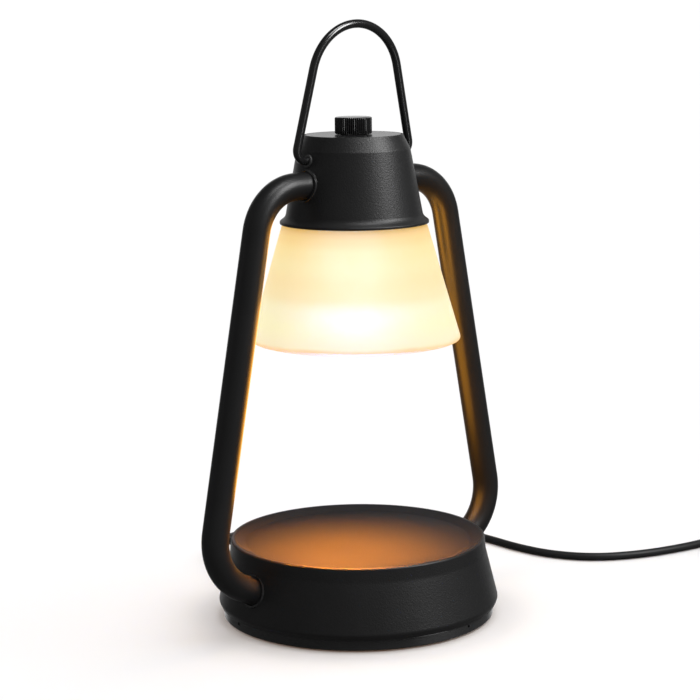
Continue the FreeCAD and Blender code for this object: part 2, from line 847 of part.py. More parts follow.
def knurled_blank():
    # A star-shaped bar: trapezoid ridges with their roots at the knurl's depth.
    pitch = 360 / knurl_count
    root = knob_radius - knurl_depth
    points = []
    for i in range(knurl_count):
        points.append(ring_point(knob_radius + seat_gap, pitch * (i - knurl_land / 2), knob_bottom))
        points.append(ring_point(knob_radius + seat_gap, pitch * (i + knurl_land / 2), knob_bottom))
        points.append(ring_point(root, pitch * (i + 0.5), knob_bottom))
    return Part.Face(Part.makePolygon(points + points[:1])).extrude(V(0, 0, knob_top - knob_bottom))


def knob():
    hollow = knob_radius - knob_wall
    outline = ((0, knob_ceiling), (hollow, knob_ceiling), (hollow, knob_bottom), (knob_radius, knob_bottom),
               (knob_radius, knob_top - crown_fall), (0, knob_top))
    body = turned(outline, {4: knob_bevel}).common(knurled_blank())
    return body.cut(shaft_profile(shaft_radius + seat_gap, shaft_flat, knob_ceiling, shaft_top + seat_gap))


# ---------------------------------------------------------------- lamp holder and bulb

def lamp_holder():
    flange_top = holder_flange_bottom + holder_flange
    outline = ((0, holder_bottom), (holder_radius, holder_bottom), (holder_radius, holder_flange_bottom),
               (holder_flange_radius, holder_flange_bottom), (holder_flange_radius, flange_top),
               (holder_radius, flange_top), (holder_radius, holder_top), (0, holder_top))
    holder = turned(outline, {1: small_rounding, 6: small_rounding})
    for slot in pin_rods(bulb_pin_head + free_gap, bulb_pin_length + free_gap, holder_bottom):
        holder = holder.cut(slot)
    for hole in holder_screw_rods(small_screw_radius + seat_gap, holder_flange_bottom, holder_flange):
        holder = holder.cut(hole)
    return holder


def pin_rods(radius, length, bottom):
    return both_sides(rod(radius, length, V(bulb_pin_spacing / 2, 0, bottom), UP))


def holder_screws():
    # From below, through the sleeve's flange and the bracket, into the holder.
    bottom = holder_plate_height - 2 * seat_gap - sleeve_flange
    screw = pan_screw(small_screw_radius, holder_flange_bottom + holder_flange - free_gap - bottom)
    screw = aimed(screw, V(holder_screw_circle, 0, bottom), V(0, 0, -1))
    return Part.makeCompound(around(screw, holder_screw_angles))


def holder_sleeve():
    # Threaded tube round the bulb's neck. Its upper flange bolts on, its collar backs the glass.
    top = holder_plate_height - seat_gap
    sleeve_bottom = holder_plate_height - sleeve_drop
    bore = sleeve_radius - sleeve_wall
    collar_bottom = shade_top + gasket_thickness + 2 * seat_gap
    outline = (
        (bore, sleeve_bottom), (sleeve_radius, sleeve_bottom), (sleeve_radius, collar_bottom),
        (shade_flange_radius, collar_bottom), (shade_flange_radius, collar_bottom + sleeve_flange),
        (sleeve_radius, collar_bottom + sleeve_flange), (sleeve_radius, top - sleeve_flange),
        (holder_plate_radius, top - sleeve_flange), (holder_plate_radius, top), (bore, top),
    )
    sleeve = turned(outline)
    for hole in holder_screw_rods(small_screw_radius + screw_play, top - sleeve_flange, sleeve_flange):
        sleeve = sleeve.cut(hole)
    return sleeve


def gasket(bottom):
    ring = rod(shade_flange_radius - 1, gasket_thickness, V(0, 0, bottom), UP)
    return ring.cut(rod(sleeve_radius + free_gap, gasket_thickness, V(0, 0, bottom), UP))


def shade_gaskets():
    upper = gasket(shade_top + seat_gap)
    lower = gasket(shade_top - shade_wall - seat_gap - gasket_thickness)
    return Part.makeCompound([upper, lower])


def shade_ring():
    top = shade_top - shade_wall - gasket_thickness - 2 * seat_gap
    bottom = top - shade_ring_height
    outline = ((sleeve_radius + seat_gap, bottom), (shade_flange_radius, bottom), (shade_flange_radius, top),
               (sleeve_radius + seat_gap, top))
    ring = turned(outline, {1: small_rounding})
    corner = V(shade_flange_radius - ring_notch_depth, -ring_notch_width / 2, bottom)
    notch = Part.makeBox(2 * ring_notch_depth, ring_notch_width, shade_ring_height, corner)
    for copy in around(notch, [360 / ring_notches * i for i in range(ring_notches)]):
        ring = ring.cut(copy)
    return ring


def glass_shade():
    slope = (shade_mouth_radius - shade_top_radius) / (shade_top - shade_bottom)
    inner_top = shade_top - shade_wall
    inner_top_radius = shade_top_radius + slope * shade_wall - shade_wall * math.hypot(1, slope)
    outline = (
        (shade_hole_radius, shade_top), (shade_top_radius, shade_top),
        (shade_mouth_radius, shade_bottom), (shade_mouth_radius - shade_lip, shade_bottom),
        (inner_top_radius, inner_top), (shade_hole_radius, inner_top),
    )
    lip = shade_lip * 0.4
    return turned(outline, {1: shade_corner, 2: lip, 3: lip, 4: shade_corner - shade_wall})


def bulb_outline(inset):
    # The reflector's side from the rim to the neck.
    return [
        (bulb_radius - inset, bulb_rim_top),
        (bulb_belly_radius - inset, bulb_rim_top + bulb_belly_rise),
        (bulb_throat_radius - inset, bulb_neck_height - bulb_throat_drop),
        (bulb_neck_radius - inset, bulb_neck_height),
    ]


def bulb_reflector():
    outside = bulb_outline(0)
    inside = bulb_outline(bulb_wall)
    outline = [(bulb_radius, bulb_face)] + outside + inside[::-1] + [(bulb_radius - bulb_wall, bulb_face)]
    radii = {0: fine_rounding, 2: bulb_belly_rounding, 3: bulb_throat_rounding,
             6: bulb_throat_rounding, 7: bulb_belly_rounding}
    return turned(outline, radii)


def bulb_front():
    radius = bulb_radius - bulb_wall - seat_gap
    return rod(radius, bulb_lens, V(0, 0, bulb_face + bulb_lens_recess), UP)


def bulb_base():
    # Ceramic block: a plug inside the reflector's neck and a flattened body above it.
    bottom = bulb_neck_height + seat_gap
    height = bulb_base_top - bottom
    slab = Part.makeBox(2 * bulb_neck_radius, bulb_base_width, height,
                        V(-bulb_neck_radius, -bulb_base_width / 2, bottom))
    plug_bottom = bulb_neck_height - bulb_plug_depth
    plug_radius = bulb_neck_radius - bulb_wall - seat_gap
    plug = rod(plug_radius, bottom + bulb_plug_rise - plug_bottom, V(0, 0, plug_bottom), UP)
    base = rod(bulb_neck_radius, height, V(0, 0, bottom), UP).common(slab).fuse(plug)
    depth = bulb_pin_root + seat_gap
    for pin in pin_rods(bulb_pin_radius + seat_gap, depth, bulb_base_top - depth):
        base = base.cut(pin)
    return base


def bulb_pins():
    # Stems out of the ceramic, with the thicker heads that lock in the holder.
    stem_bottom = bulb_base_top - bulb_pin_root
    head_bottom = bulb_base_top + bulb_pin_length - bulb_pin_head_height
    stems = pin_rods(bulb_pin_radius, head_bottom - stem_bottom, stem_bottom)
    heads = pin_rods(bulb_pin_head, bulb_pin_head_height, head_bottom)
    return Part.makeCompound([stem.fuse(head) for stem, head in zip(stems, heads)])


def bulb_capsule():
    # The halogen burner in the reflector, held by the ceramic plug.
    top = bulb_neck_height - bulb_plug_depth - seat_gap
    bottom = bulb_face + bulb_capsule_rise
    outline = ((0, bottom), (bulb_capsule_radius, bottom), (bulb_capsule_radius, top), (0, top))
    return turned(outline, {1: bulb_capsule_radius * 0.9})


def holder_leads():
    # Two short wires from the top of the lamp holder to the dimmer.
    lead = rod(wire_radius, dimmer_bottom - holder_top, V(0, wire_spacing * 2, holder_top), UP)
    return Part.makeCompound(both_sides(lead))


# ---------------------------------------------------------------- carrying bail

def bail_handle():
    # Wire bent to an arch; its ends turn in through the cap's wall and are upset inside it.
    rise = bail_height - bail_arch
    span = math.hypot(bail_half_width, rise)
    leg_angle = math.atan2(bail_half_width, rise) - math.asin(bail_arch / span)
    peak = bail_half_width / math.tan(leg_angle)
    half = [(bail_inner_reach, 0), (bail_half_width, 0)]
    points = in_plane(half + [(0, peak)] + [(-x, z) for x, z in half[::-1]])
    wire = swept(rounded_edges(points, {1: bail_bend, 2: bail_arch, 3: bail_bend}), bail_wire)
    head_start = V(bail_inner_reach - bail_head_length, 0, 0)
    head = rod(bail_wire + bail_head, bail_head_length, head_start, V(1, 0, 0))
    for copy in both_sides(head):
        wire = wire.fuse(copy)
    wire.rotate(V(0, 0, 0), V(1, 0, 0), bail_lean)
    wire.translate(V(0, 0, bail_pivot_height))
    return wire


def bail_bushes():
    tube = pivot_rod(bail_bush_radius).cut(pivot_rod(bail_wire + running_gap))
    low = bail_pivot_height - bail_bush_radius - seat_gap
    high = bail_pivot_height + bail_bush_radius + seat_gap
    layer = wall_layer(cap_wall_line, low, high, bush_proud, cap_wall + bush_inside)
    return Part.makeCompound(both_sides(tube.common(layer)))


# ---------------------------------------------------------------- cord and plug

def strain_relief():
    # Tapered boot through the base's wall, with a flange behind it.
    wall_inside = radius_at(offset_outline(base_wall, shell_wall), cord_exit_height + relief_flange_radius)
    inside = math.sqrt(wall_inside ** 2 - relief_flange_radius ** 2) - seat_gap
    outline = (
        (cord_radius + seat_gap, inside - relief_flange), (relief_flange_radius, inside - relief_flange),
        (relief_flange_radius, inside), (relief_root, inside), (relief_root, relief_face + relief_straight),
        (relief_tip, relief_end), (cord_radius + seat_gap, relief_end),
    )
    return aimed(turned(outline), V(0, 0, cord_exit_height), V(0, 1, 0))


def inner_cord():
    start = bracket_width / 2 + seat_gap
    return rod(cord_radius, relief_end - start, V(0, start, cord_exit_height), V(0, 1, 0))


def route_points(route):
    return [V(*point) for point in route]


def cord_bends(points):
    # The largest arc that each corner's two runs allow.
    bends = {}
    for i in range(1, len(points) - 1):
        back = points[i - 1] - points[i]
        ahead = points[i + 1] - points[i]
        half_turn = (math.pi - back.getAngle(ahead)) / 2
        bends[i] = 0.45 * min(back.Length, ahead.Length) / math.tan(half_turn)
    return bends


def cord_tube(name, points):
    bends = cord_bends(points)
    edges = rounded_edges(points, bends)
    tube = swept(edges, cord_radius)
    length = sum(edge.Length for edge in edges)
    expected = math.pi * cord_radius ** 2 * length
    print("%s: length %.1f, volume %.4f of section x length" % (name, length, tube.Volume / expected))
    print("%s: radii %s" % (name, " ".join("%.0f" % radius for radius in bends.values())))
    return tube


def power_cord():
    start = V(0, relief_end, cord_exit_height)
    return cord_tube("power cord", [start] + route_points(cord_route))


def cord_tail():
    return cord_tube("cord tail", route_points(tail_route))


def cord_coil():
    # The outer shape of the coiled turns.
    half_width = coil_columns * cord_radius
    height = (2 + (coil_rows - 1) * math.sqrt(3)) * cord_radius
    outline = (
        (coil_middle - half_width, 0), (coil_middle + half_width, 0),
        (coil_middle + half_width, height), (coil_middle - half_width, height),
    )
    coil = turned(outline, {i: coil_rounding for i in range(4)})
    coil.translate(V(coil_centre[0], coil_centre[1], 0))
    return coil


def plug_frame():
    # Where the cord's tail ends, and its level direction there.
    points = route_points(tail_route)
    direction = points[-1] - points[-2]
    return points[-1], V(direction.x, direction.y, 0).normalize()


def placed_on_plug(shape):
    # A shape built along +X from the origin, put at the end of the cord's tail.
    point, direction = plug_frame()
    seat = FreeCAD.Placement(point, FreeCAD.Rotation(V(1, 0, 0), direction))
    shape.Placement = seat.multiply(shape.Placement)
    return shape


def plug_body():
    relief_start = cord_radius + plug_relief_wall
    relief_finish = relief_start + plug_relief_flare
    outline = ((0, 0), (relief_start, 0), (relief_finish, plug_relief), (0, plug_relief))
    relief = aimed(turned(outline), V(0, 0, 0), V(1, 0, 0))
    corner = V(plug_relief, -plug_width / 2, -plug_height / 2)
    body = Part.makeBox(plug_length, plug_width, plug_height, corner)
    corners = [edge for edge in body.Edges if edge.BoundBox.XLength > plug_length / 2]
    body = body.makeFillet(plug_rounding, corners)
    slots = Part.makeCompound(blades(seat_gap))
    return placed_on_plug(body.fuse(relief).cut(slots))


def blades(gap):
    pieces = []
    length = blade_inside + gap + blade_length
    width = blade_width + 2 * gap
    thickness = blade_thickness + 2 * gap
    start = plug_relief + plug_length - blade_inside - gap
    for middle in (-blade_spacing / 2, blade_spacing / 2):
        corner = V(start, middle - thickness / 2, -width / 2)
        pieces.append(Part.makeBox(length, thickness, width, corner))
    return pieces


def plug_blades():
    pieces = []
    for blade in blades(0):
        hole_reach = plug_relief + plug_length + blade_length - blade_hole_inset
        hole = rod(blade_hole_radius, plug_width, V(hole_reach, -plug_width / 2, 0), V(0, 1, 0))
        pieces.append(blade.cut(hole))
    return placed_on_plug(Part.makeCompound(pieces))


# ---------------------------------------------------------------- export

arm_right, arm_left = both_sides(arm())
nodes = {
    "base_shell": base_shell(),
    "bottom_cover": bottom_cover(),
    "foot_pads": foot_pads(),
    "cover_screws": cover_screws(),
    "set_screws": set_screws(),
    "ballast_disc": ballast_disc(),
    "base_strap": base_strap(),
    "strap_spacers": strap_spacers(),
    "base_screws": base_screws(),
    "cord_clamp": cord_clamp(),
    "terminal_block": terminal_block(),
    "terminal_screws": terminal_screws(),
    "arm_right": arm_right,
    "arm_left": arm_left,
    "upper_nipples": Part.makeCompound(both_sides(nipple(top_end))),
    "lower_nipples": Part.makeCompound(both_sides(nipple(foot_end))),
    "upper_nuts": Part.makeCompound(both_sides(nipple_nut(top_end))),
    "lower_nuts": Part.makeCompound(both_sides(nipple_nut(foot_end))),
    "upper_collars": Part.makeCompound(both_sides(arm_collar(top_end, cap_wall_line, cap_wall))),
    "lower_collars": Part.makeCompound(both_sides(arm_collar(foot_end, base_wall, shell_wall))),
    "lead_wires": lead_wires(),
    "cap_shell": cap_shell(),
    "cap_top_plate": cap_top_plate(),
    "cap_bracket": cap_bracket(),
    "dimmer_body": dimmer_body(),
    "dimmer_shaft": dimmer_shaft(),
    "dimmer_nut": dimmer_nut(),
    "knob": knob(),
    "lamp_holder": lamp_holder(),
    "holder_screws": holder_screws(),
    "holder_sleeve": holder_sleeve(),
    "holder_leads": holder_leads(),
    "shade_gaskets": shade_gaskets(),
    "shade_ring": shade_ring(),
    "glass_shade": glass_shade(),
    "bulb_reflector": bulb_reflector(),
    "bulb_lens": bulb_front(),
    "bulb_base": bulb_base(),
    "bulb_pins": bulb_pins(),
    "bulb_capsule": bulb_capsule(),
    "bail_handle": bail_handle(),
    "bail_bushes": bail_bushes(),
    "strain_relief": strain_relief(),
    "inner_cord": inner_cord(),
    "power_cord": power_cord(),
    "cord_coil": cord_coil(),
    "cord_tail": cord_tail(),
    "plug_body": plug_body(),
    "plug_blades": plug_blades(),
}

os.makedirs("parts", exist_ok=True)
for name, shape in nodes.items():
    print("%-16s %s %d solid(s) %.1f mm3" % (name, "valid" if shape.isValid() else "INVALID",
                                            len(shape.Solids), shape.Volume))
    shape.exportStep("parts/%s.step" % name)
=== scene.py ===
import json
import math

import bmesh
import bpy
from mathutils import Matrix, Vector


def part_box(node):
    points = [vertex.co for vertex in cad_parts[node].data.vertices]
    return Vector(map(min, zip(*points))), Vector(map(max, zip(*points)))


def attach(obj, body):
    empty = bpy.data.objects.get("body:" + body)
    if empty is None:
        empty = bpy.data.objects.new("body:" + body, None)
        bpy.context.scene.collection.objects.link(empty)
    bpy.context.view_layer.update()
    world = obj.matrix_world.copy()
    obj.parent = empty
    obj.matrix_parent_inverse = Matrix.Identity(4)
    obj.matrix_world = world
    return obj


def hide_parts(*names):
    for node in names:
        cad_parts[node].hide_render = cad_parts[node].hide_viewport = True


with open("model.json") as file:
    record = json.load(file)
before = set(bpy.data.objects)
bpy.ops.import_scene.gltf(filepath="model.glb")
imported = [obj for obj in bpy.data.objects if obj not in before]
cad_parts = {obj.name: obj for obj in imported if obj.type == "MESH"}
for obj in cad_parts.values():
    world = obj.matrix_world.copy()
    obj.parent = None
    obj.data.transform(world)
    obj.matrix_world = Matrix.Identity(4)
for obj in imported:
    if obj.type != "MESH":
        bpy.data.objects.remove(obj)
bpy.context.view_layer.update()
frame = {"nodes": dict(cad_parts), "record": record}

scene = bpy.context.scene
nodes = frame["nodes"]
mm = 0.001
print("frame loaded,", len(nodes), "nodes")


# the camera stands off the lamp's left front corner, slightly above it
cameraSet = {
    "distance": 1.0577,   # level, from the lamp's axis
    "height": 0.3224,
    "azimuth": 40.0,      # degrees round the lamp from its front
    "yaw": -0.16,         # degrees past the axis
    "pitch": 9.872,       # degrees down
    "roll": -0.65,
    "lens": 108.05,
    "sensor": 36.0,
}


def makeCamera(settings):
    data = bpy.data.cameras.new("camera")
    data.sensor_width = settings["sensor"]
    data.lens = settings["lens"]
    camera = bpy.data.objects.new("camera", data)
    scene.collection.objects.link(camera)
    azimuth = math.radians(settings["azimuth"])
    place = Vector((-math.sin(azimuth), -math.cos(azimuth), 0)) * settings["distance"]
    place.z = settings["height"]
    heading = Matrix.Rotation(-azimuth - math.radians(settings["yaw"]), 4, "Z")
    tilt = Matrix.Rotation(math.radians(90 - settings["pitch"]), 4, "X")
    roll = Matrix.Rotation(math.radians(settings["roll"]), 4, "Z")
    camera.matrix_world = Matrix.Translation(place) @ heading @ tilt @ roll
    scene.camera = camera


makeCamera(cameraSet)
print("camera made")


# one socket, which takes + - * / as Math nodes
class Value:
    def __init__(self, shader, socket):
        self.shader = shader
        self.socket = socket

    def maths(self, operation, a, b):
        return self.shader.add("Math", {"operation": operation}, {0: a, 1: b})

    def __add__(self, other):
        return self.maths("ADD", self, other)

    def __sub__(self, other):
        return self.maths("SUBTRACT", self, other)

    def __rsub__(self, other):
        return self.maths("SUBTRACT", other, self)

    def __mul__(self, other):
        return self.maths("MULTIPLY", self, other)

    def __truediv__(self, other):
        return self.maths("DIVIDE", self, other)

    def __rtruediv__(self, other):
        return self.maths("DIVIDE", other, self)

    __radd__ = __add__
    __rmul__ = __mul__

    def clamped(self):
        return self.maths("MINIMUM", self.maths("MAXIMUM", self, 0.0), 1.0)

    # a noise from 0 to 1, turned into a change of up to half the amount each way
    def swing(self, amount):
        return (self - 0.5) * amount


# the nodes of a material or of the world
class Shader:
    def __init__(self, owner, coordinates="Object"):
        owner.use_nodes = True
        self.owner = owner
        self.tree = owner.node_tree
        self.tree.nodes.clear()
        self.place = self.add("TexCoord", output=coordinates)

    # any node: its type, its settings, and the values or links of its sockets
    def add(self, kind, settings=None, sockets=None, output=0):
        node = self.tree.nodes.new("ShaderNode" + kind)
        for name, value in (settings or {}).items():
            if name == "stops":
                self.setStops(node.color_ramp, value)
            else:
                setattr(node, name, value)
        for name, value in (sockets or {}).items():
            if isinstance(value, Value):
                self.tree.links.new(value.socket, node.inputs[name])
            else:
                node.inputs[name].default_value = value
        return Value(self, node.outputs[output]) if node.outputs else node

    def setStops(self, ramp, stops):
        ramp.interpolation = "EASE"
        while len(ramp.elements) < len(stops):
            ramp.elements.new(0.5)
        for element, (position, colour) in zip(ramp.elements, stops):
            element.position = position
            element.color = (*colour, 1.0)

    def noise(self, scale, detail=3.0, place=None):
        sockets = {"Vector": place or self.place, "Scale": scale, "Detail": detail}
        return self.add("TexNoise", sockets=sockets, output="Fac")

    # between two colours, which a Mix node has at 6 and 7, and its result at 2
    def mixed(self, factor, a, b):
        sockets = {0: factor, 6: (*a, 1.0), 7: (*b, 1.0)}
        return self.add("Mix", {"data_type": "RGBA"}, sockets, output=2)

    def bump(self, height, distance, strength=1.0):
        sockets = {"Height": height, "Distance": distance * mm, "Strength": strength}
        return self.add("Bump", sockets=sockets)

    # a principled surface, with its sockets given by name
    def surface(self, sockets):
        principled = self.add("BsdfPrincipled", sockets=sockets, output="BSDF")
        self.add("OutputMaterial", sockets={"Surface": principled})
        return self.owner


def newShader(name):
    return Shader(bpy.data.materials.new(name))


# satin black coats: the grain is the fine orange peel of a baked powder, its depth in millimetres
coats = {
    "powderCoat": {
        "dark": (0.0035, 0.0035, 0.0036), "light": (0.0075, 0.0075, 0.0077),
        "roughness": 0.42, "spread": 0.10, "grain": 1350.0, "depth": 0.15, "specular": 0.30,
    },
    "shellCoat": {
        "dark": (0.0035, 0.0035, 0.0036), "light": (0.0075, 0.0075, 0.0077),
        "roughness": 0.42, "spread": 0.10, "grain": 1350.0, "depth": 0.15, "specular": 0.25,
        "dish": 0.36,     # how much rougher the dished top is
    },
    "plateCoat": {
        "dark": (0.005, 0.005, 0.0052), "light": (0.009, 0.009, 0.0092),
        "roughness": 0.27, "spread": 0.08, "grain": 1900.0, "depth": 0.02, "specular": 0.5,
    },
    "collarCoat": {
        "dark": (0.004, 0.004, 0.0042), "light": (0.008, 0.008, 0.0082),
        "roughness": 0.22, "spread": 0.06, "grain": 1900.0, "depth": 0.012, "specular": 0.5,
    },
    "armCoat": {
        "dark": (0.0035, 0.0035, 0.0036), "light": (0.0070, 0.0070, 0.0072),
        "roughness": 0.36, "spread": 0.09, "grain": 1500.0, "depth": 0.07, "specular": 0.22,
    },
    "baseRing": {
        "dark": (0.005, 0.005, 0.0052), "light": (0.008, 0.008, 0.0082),
        "roughness": 0.20, "spread": 0.06, "grain": 1300.0, "depth": 0.015, "specular": 0.5,
    },
    "handleBlack": {
        "dark": (0.003, 0.003, 0.0031), "light": (0.006, 0.006, 0.0062),
        "roughness": 0.20, "spread": 0.05, "grain": 1100.0, "depth": 0.012, "specular": 0.5,
    },
    "knobBlack": {
        "dark": (0.003, 0.003, 0.0031), "light": (0.007, 0.007, 0.0072),
        "roughness": 0.16, "spread": 0.08, "grain": 1900.0, "depth": 0.012, "specular": 0.4,
    },
}
peelSet = {               # the same in all the coats
    "fine": 2.7,          # a finer grain, times the coat's own
    "fineShare": 0.3,     # its share of the relief
    "fineRough": 0.12,    # and how far it changes the roughness
    "patches": 38.0,      # broad soft patches, per metre
    "patchShare": 0.55,   # their share of the tone
    "speck": 1.6,         # lighter specks, times the coat's own grain
    "speckFrom": 0.60,    # more of this leaves fewer specks
    "speckGain": 5.0,
    "speckShare": 0.5,
    "dishRadius": 64.5,   # of the base's dished top
    "dishEdge": 900.0,    # how soon the dish's finish gives way to the wall's, per metre
}


# 1 on the dished top of the base, 0 on its wall
def dishMask(shader):
    flat = shader.add("VectorMath", {"operation": "MULTIPLY"}, {0: shader.place, 1: (1.0, 1.0, 0.0)})
    radius = shader.add("VectorMath", {"operation": "LENGTH"}, {0: flat}, output="Value")
    return ((peelSet["dishRadius"] * mm - radius) * peelSet["dishEdge"]).clamped()


def coat(name):
    settings = coats[name]
    shader = newShader(name)
    peel = shader.noise(settings["grain"], detail=2.0)
    fine = shader.noise(settings["grain"] * peelSet["fine"], detail=2.0)
    patches = shader.noise(peelSet["patches"], detail=4.0)
    speck = shader.noise(settings["grain"] * peelSet["speck"], detail=1.0)
    speck = (speck - peelSet["speckFrom"]).clamped() * peelSet["speckGain"]
    share = peelSet["patchShare"]
    tone = (patches * share + peel * (1 - share) + speck * peelSet["speckShare"]).clamped()
    height = peel * (1 - peelSet["fineShare"]) + fine * peelSet["fineShare"]
    roughness = settings["roughness"] + patches.swing(settings["spread"])
    roughness = roughness + fine.swing(peelSet["fineRough"])
    if "dish" in settings:
        roughness = roughness + dishMask(shader) * settings["dish"]
    return shader.surface({
        "Base Color": shader.mixed(tone, settings["dark"], settings["light"]),
        "Roughness": roughness,
        "Specular IOR Level": settings["specular"],
        "Normal": shader.bump(height, settings["depth"]),
    })


# the lit frosted glass, its glow painted light: the bulb's light through it painted in cream, amber towards
# its edges, and painted shade in tan under the cap
shadeSet = {
    "low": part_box("glass_shade")[0].z,
    "high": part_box("glass_shade")[1].z,
    "dark": (0.38, 0.32, 0.25),
    "light": (0.42, 0.36, 0.29),
    "roughness": 0.58,
    "ior": 1.45,
    # strength of the painted glow: the bulb's light and the cap's shade on the glass, painted as emission
    "glow": 0.58,
    "through": 0.40,
    "cloud": 45.0,        # soft clouds in the glass, per metre
    "cloudShift": 0.05,   # how far they move the glow's colours up and down
    "frost": 2600.0,
    "frostRough": 0.1,    # how far the frost changes the roughness
    "frostDepth": 0.03,   # of its relief, in millimetres
    "frostBump": 0.6,     # and how strongly that shows
    # the painted glow's colour from the mouth up to the cap, ending in tan painted shade under the cap
    "paintedGlow": [
        (0.0, (1.0, 0.50, 0.10)), (0.018, (1.0, 0.60, 0.18)), (0.05, (0.96, 0.88, 0.54)),
        (0.20, (0.95, 0.92, 0.50)), (0.33, (0.95, 0.90, 0.53)), (0.44, (0.95, 0.79, 0.40)),
        (0.56, (0.95, 0.76, 0.35)), (0.68, (0.95, 0.80, 0.37)), (0.80, (0.98, 0.77, 0.31)),
        (0.90, (0.95, 0.66, 0.20)), (0.97, (0.82, 0.51, 0.11)), (1.0, (0.62, 0.35, 0.07)),
    ],
}


def frostedGlass(name, settings):
    shader = newShader(name)
    height = shader.add("SeparateXYZ", sockets={"Vector": shader.place}, output="Z")
    level = ((height - settings["low"]) / (settings["high"] - settings["low"])).clamped()
    cloud = shader.noise(settings["cloud"])
    level = level + cloud.swing(settings["cloudShift"])
    # painted light: emission by height stands in for the bulb's light through the glass, with painted shade
    # under the cap
    glow = shader.add("ValToRGB", {"stops": settings["paintedGlow"]}, {"Fac": level})
    frost = shader.noise(settings["frost"], detail=2.0)
    return shader.surface({
        "Base Color": shader.mixed(cloud, settings["dark"], settings["light"]),
        "Roughness": settings["roughness"] + frost.swing(settings["frostRough"]),
        "IOR": settings["ior"],
        "Transmission Weight": settings["through"],
        "Emission Color": glow,
        "Emission Strength": settings["glow"],
        "Normal": shader.bump(frost, settings["frostDepth"], settings["frostBump"]),
    })


plainSet = {              # the same in all moulded, cast and plated pieces
    "grainRough": 0.12,   # how far the grain changes the roughness
    "patches": 60.0,      # broad patches, per metre
    "patchRough": 0.08,   # and how far they change it
}


# more takes further sockets by their names, with _ for a space
def plain(name, dark, light, roughness, metallic=0.0, grain=600.0, depth=0.03, **more):
    shader = newShader(name)
    fine = shader.noise(grain)
    patches = shader.noise(plainSet["patches"])
    roughness = roughness + fine.swing(plainSet["grainRough"])
    sockets = {
        "Base Color": shader.mixed(patches, dark, light),
        "Roughness": roughness + patches.swing(plainSet["patchRough"]),
        "Metallic": metallic,
        "Normal": shader.bump(fine, depth),
    }
    sockets.update({key.replace("_", " "): value for key, value in more.items()})
    return shader.surface(sockets)


brushSet = {
    "rough": 0.2,         # how far the lines change the roughness
    "depth": 0.02,
}


# sheet metal, its lines drawn out along the axis on which stretch is smallest
def brushed(name, dark, light, roughness, stretch=(40.0, 900.0, 900.0)):
    shader = newShader(name)
    along = shader.add("Mapping", sockets={"Vector": shader.place, "Scale": stretch})
    lines = shader.noise(1.0, detail=4.0, place=along)
    return shader.surface({
        "Base Color": shader.mixed(lines, dark, light),
        "Roughness": roughness + lines.swing(brushSet["rough"]),
        "Metallic": 1.0,
        "Normal": shader.bump(lines, brushSet["depth"]),
    })


threadSet = {
    "dark": (0.32, 0.32, 0.33),
    "light": (0.62, 0.62, 0.63),
    "roughness": 0.28,
    "grooveRough": 0.2,   # how much rougher the grooves are
    "scale": 320.0,
    "waver": 0.4,         # how uneven the turns look
    "depth": 0.15,
}


def threaded(name, settings):
    shader = newShader(name)
    sockets = {"Vector": shader.place, "Scale": settings["scale"], "Distortion": settings["waver"]}
    thread = shader.add("TexWave", {"bands_direction": "X"}, sockets, output="Fac")
    return shader.surface({
        "Base Color": shader.mixed(thread, settings["dark"], settings["light"]),
        "Roughness": settings["roughness"] + (1 - thread) * settings["grooveRough"],
        "Metallic": 1.0,
        "Normal": shader.bump(thread, settings["depth"]),
    })


bulbSet = {               # the lit parts of the bulb, with a reflector's dimples
    "glass": (0.9, 0.85, 0.75),
    "roughness": 0.3,
    "dimples": 340.0,
    "dimpleRough": 0.2,
    "dimpleDepth": 0.2,
    "dimpleTone": 0.7,    # how much darker the glass is between the dimples
    "glowTone": 0.8,      # and its glow
    "glowShare": 0.5,     # how strongly the dimples show in the glow
}


def glowing(name, colour, strength, settings=bulbSet):
    shader = newShader(name)
    sockets = {"Vector": shader.place, "Scale": settings["dimples"]}
    dimples = shader.add("TexVoronoi", sockets=sockets, output="Distance")
    darkGlass = tuple(c * settings["dimpleTone"] for c in settings["glass"])
    darkGlow = tuple(c * settings["glowTone"] for c in colour)
    return shader.surface({
        "Base Color": shader.mixed(dimples, settings["glass"], darkGlass),
        "Roughness": settings["roughness"] + dimples * settings["dimpleRough"],
        "Emission Color": shader.mixed((dimples * settings["glowShare"]).clamped(), colour, darkGlow),
        "Emission Strength": strength,
        "Normal": shader.bump(dimples, settings["dimpleDepth"]),
    })


sleeveSet = {             # glass-fibre sleeve of the wires near the bulb
    "dark": (0.34, 0.30, 0.24),
    "light": (0.62, 0.57, 0.48),
    "roughness": 0.7,
    "weaveRough": 0.1,
    "scale": 420.0,
    "depth": 0.15,
}


def woven(name, settings):
    shader = newShader(name)
    sockets = {"Vector": shader.place, "Scale": settings["scale"]}
    weave = shader.add("TexWave", {"bands_direction": "DIAGONAL"}, sockets, output="Fac")
    return shader.surface({
        "Base Color": shader.mixed(weave, settings["dark"], settings["light"]),
        "Roughness": settings["roughness"] + weave.swing(settings["weaveRough"]),
        "Normal": shader.bump(weave, settings["depth"]),
    })


